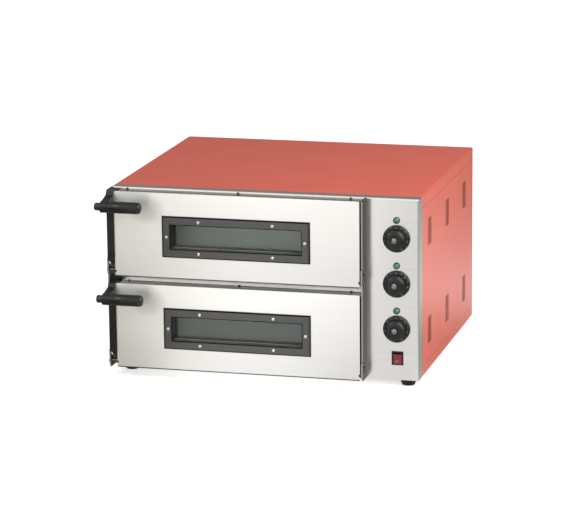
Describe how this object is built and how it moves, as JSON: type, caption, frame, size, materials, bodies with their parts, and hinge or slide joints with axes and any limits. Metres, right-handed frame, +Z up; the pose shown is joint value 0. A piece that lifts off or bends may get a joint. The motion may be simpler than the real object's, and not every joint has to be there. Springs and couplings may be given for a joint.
{
  "type": "countertop pizza oven",
  "caption": "Countertop electric pizza oven with stacked decks, drop-down glazed steel doors, dial thermostats, signal lamps and a rocker switch in a red slotted casing.",
  "frame": {"origin": "centre of the bounding box's underside, on the surface the feet stand on", "axes": "+Z up, -Y towards the doors, +X towards the control column"},
  "size_m": [0.5684, 0.6216, 0.341],
  "materials": {
    "brushed_stainless": "vertical brushed satin",
    "red_powder_coat": "fine orange-peel powder coat",
    "bright_steel": "polished",
    "blackened_steel": "black oxide",
    "aluminised_steel": "matt aluminised sheet",
    "baking_stone": "fine grained cordierite",
    "element_sheath": "dark oxidised sheath",
    "white_ceramic": "unglazed",
    "mineral_wool": "loose fibre",
    "glass_braid": "woven glass fibre",
    "black_enamel": "satin black",
    "oven_glass": "clear, faint green",
    "black_bakelite": "semi-gloss moulded",
    "black_plastic": "moulded",
    "black_rubber": "matt moulded",
    "thermostat_body": "moulded housing",
    "copper_bulb": "drawn copper",
    "green_lens": "clear domed lens",
    "red_rocker": "translucent moulded",
    "wire_sleeve": "silicone sleeve"
  },
  "bodies": {
    "chassis": {"front_fascia": "brushed_stainless", "top_cover": "red_powder_coat", "base_pan": "red_powder_coat", "side_panel_left": "red_powder_coat", "side_panel_right": "red_powder_coat", "back_panel": "red_powder_coat", "casing_screws": "bright_steel", "feet": "black_rubber", "foot_screws": "bright_steel", "hinge_cheeks": "brushed_stainless", "hinge_pins": "bright_steel", "chamber_lower": "aluminised_steel", "chamber_upper": "aluminised_steel", "baking_stones": "baking_stone", "stone_rails": "aluminised_steel", "heating_elements": "element_sheath", "element_terminals": "white_ceramic", "chamber_insulation": "mineral_wool", "control_bay_divider": "aluminised_steel", "thermostats": "thermostat_body", "thermostat_bulbs": "copper_bulb", "lamp_lenses": "green_lens", "lamp_holders": "black_plastic", "switch_housing": "black_plastic", "wiring_loom": "wire_sleeve", "terminal_block": "white_ceramic", "cable_gland": "black_plastic", "mains_cable": "black_rubber", "mains_plug": "black_rubber"},
    "door_lower": {"door_lower_outer_panel": "brushed_stainless", "door_lower_inner_pan": "aluminised_steel", "door_lower_insulation": "mineral_wool", "door_lower_seal": "glass_braid", "door_lower_window_channel": "black_enamel", "door_lower_window_panes": "oven_glass", "door_lower_window_frame": "black_enamel", "door_lower_window_screws": "bright_steel", "door_lower_handle_arm": "black_bakelite", "door_lower_handle_grip": "black_bakelite", "door_lower_handle_fixings": "blackened_steel", "door_lower_hinge_fittings": "bright_steel"},
    "door_upper": {"door_upper_outer_panel": "brushed_stainless", "door_upper_inner_pan": "aluminised_steel", "door_upper_insulation": "mineral_wool", "door_upper_seal": "glass_braid", "door_upper_window_channel": "black_enamel", "door_upper_window_panes": "oven_glass", "door_upper_window_frame": "black_enamel", "door_upper_window_screws": "bright_steel", "door_upper_handle_arm": "black_bakelite", "door_upper_handle_grip": "black_bakelite", "door_upper_handle_fixings": "blackened_steel", "door_upper_hinge_fittings": "bright_steel"},
    "dial_lower": {"knob_lower": "black_bakelite", "knob_spindle_lower": "bright_steel"},
    "dial_middle": {"knob_middle": "black_bakelite", "knob_spindle_middle": "bright_steel"},
    "dial_upper": {"knob_upper": "black_bakelite", "knob_spindle_upper": "bright_steel"},
    "rocker": {"switch_rocker": "red_rocker"}
  },
  "joints": [
    {"name": "door_lower_hinge", "type": "hinge", "parent": "chassis", "child": "door_lower", "pos_m": [-0.0358, -0.25775, 0.0282], "axis": [1, 0, 0], "range_deg": [0, 76]},
    {"name": "door_upper_hinge", "type": "hinge", "parent": "chassis", "child": "door_upper", "pos_m": [-0.0358, -0.25775, 0.1957], "axis": [1, 0, 0], "range_deg": [0, 76]},
    {"name": "dial_lower_turn", "type": "hinge", "parent": "chassis", "child": "dial_lower", "pos_m": [0.2447, -0.23825, 0.1067], "axis": [0, 1, 0], "range_deg": [0, 300]},
    {"name": "dial_middle_turn", "type": "hinge", "parent": "chassis", "child": "dial_middle", "pos_m": [0.2447, -0.23825, 0.188], "axis": [0, 1, 0], "range_deg": [0, 300]},
    {"name": "dial_upper_turn", "type": "hinge", "parent": "chassis", "child": "dial_upper", "pos_m": [0.2447, -0.23825, 0.2693], "axis": [0, 1, 0], "range_deg": [0, 300]},
    {"name": "rocker_tilt", "type": "hinge", "parent": "chassis", "child": "rocker", "pos_m": [0.2462, -0.22425, 0.0536], "axis": [-1, 0, 0], "range_deg": [0, 16]}
  ]
}
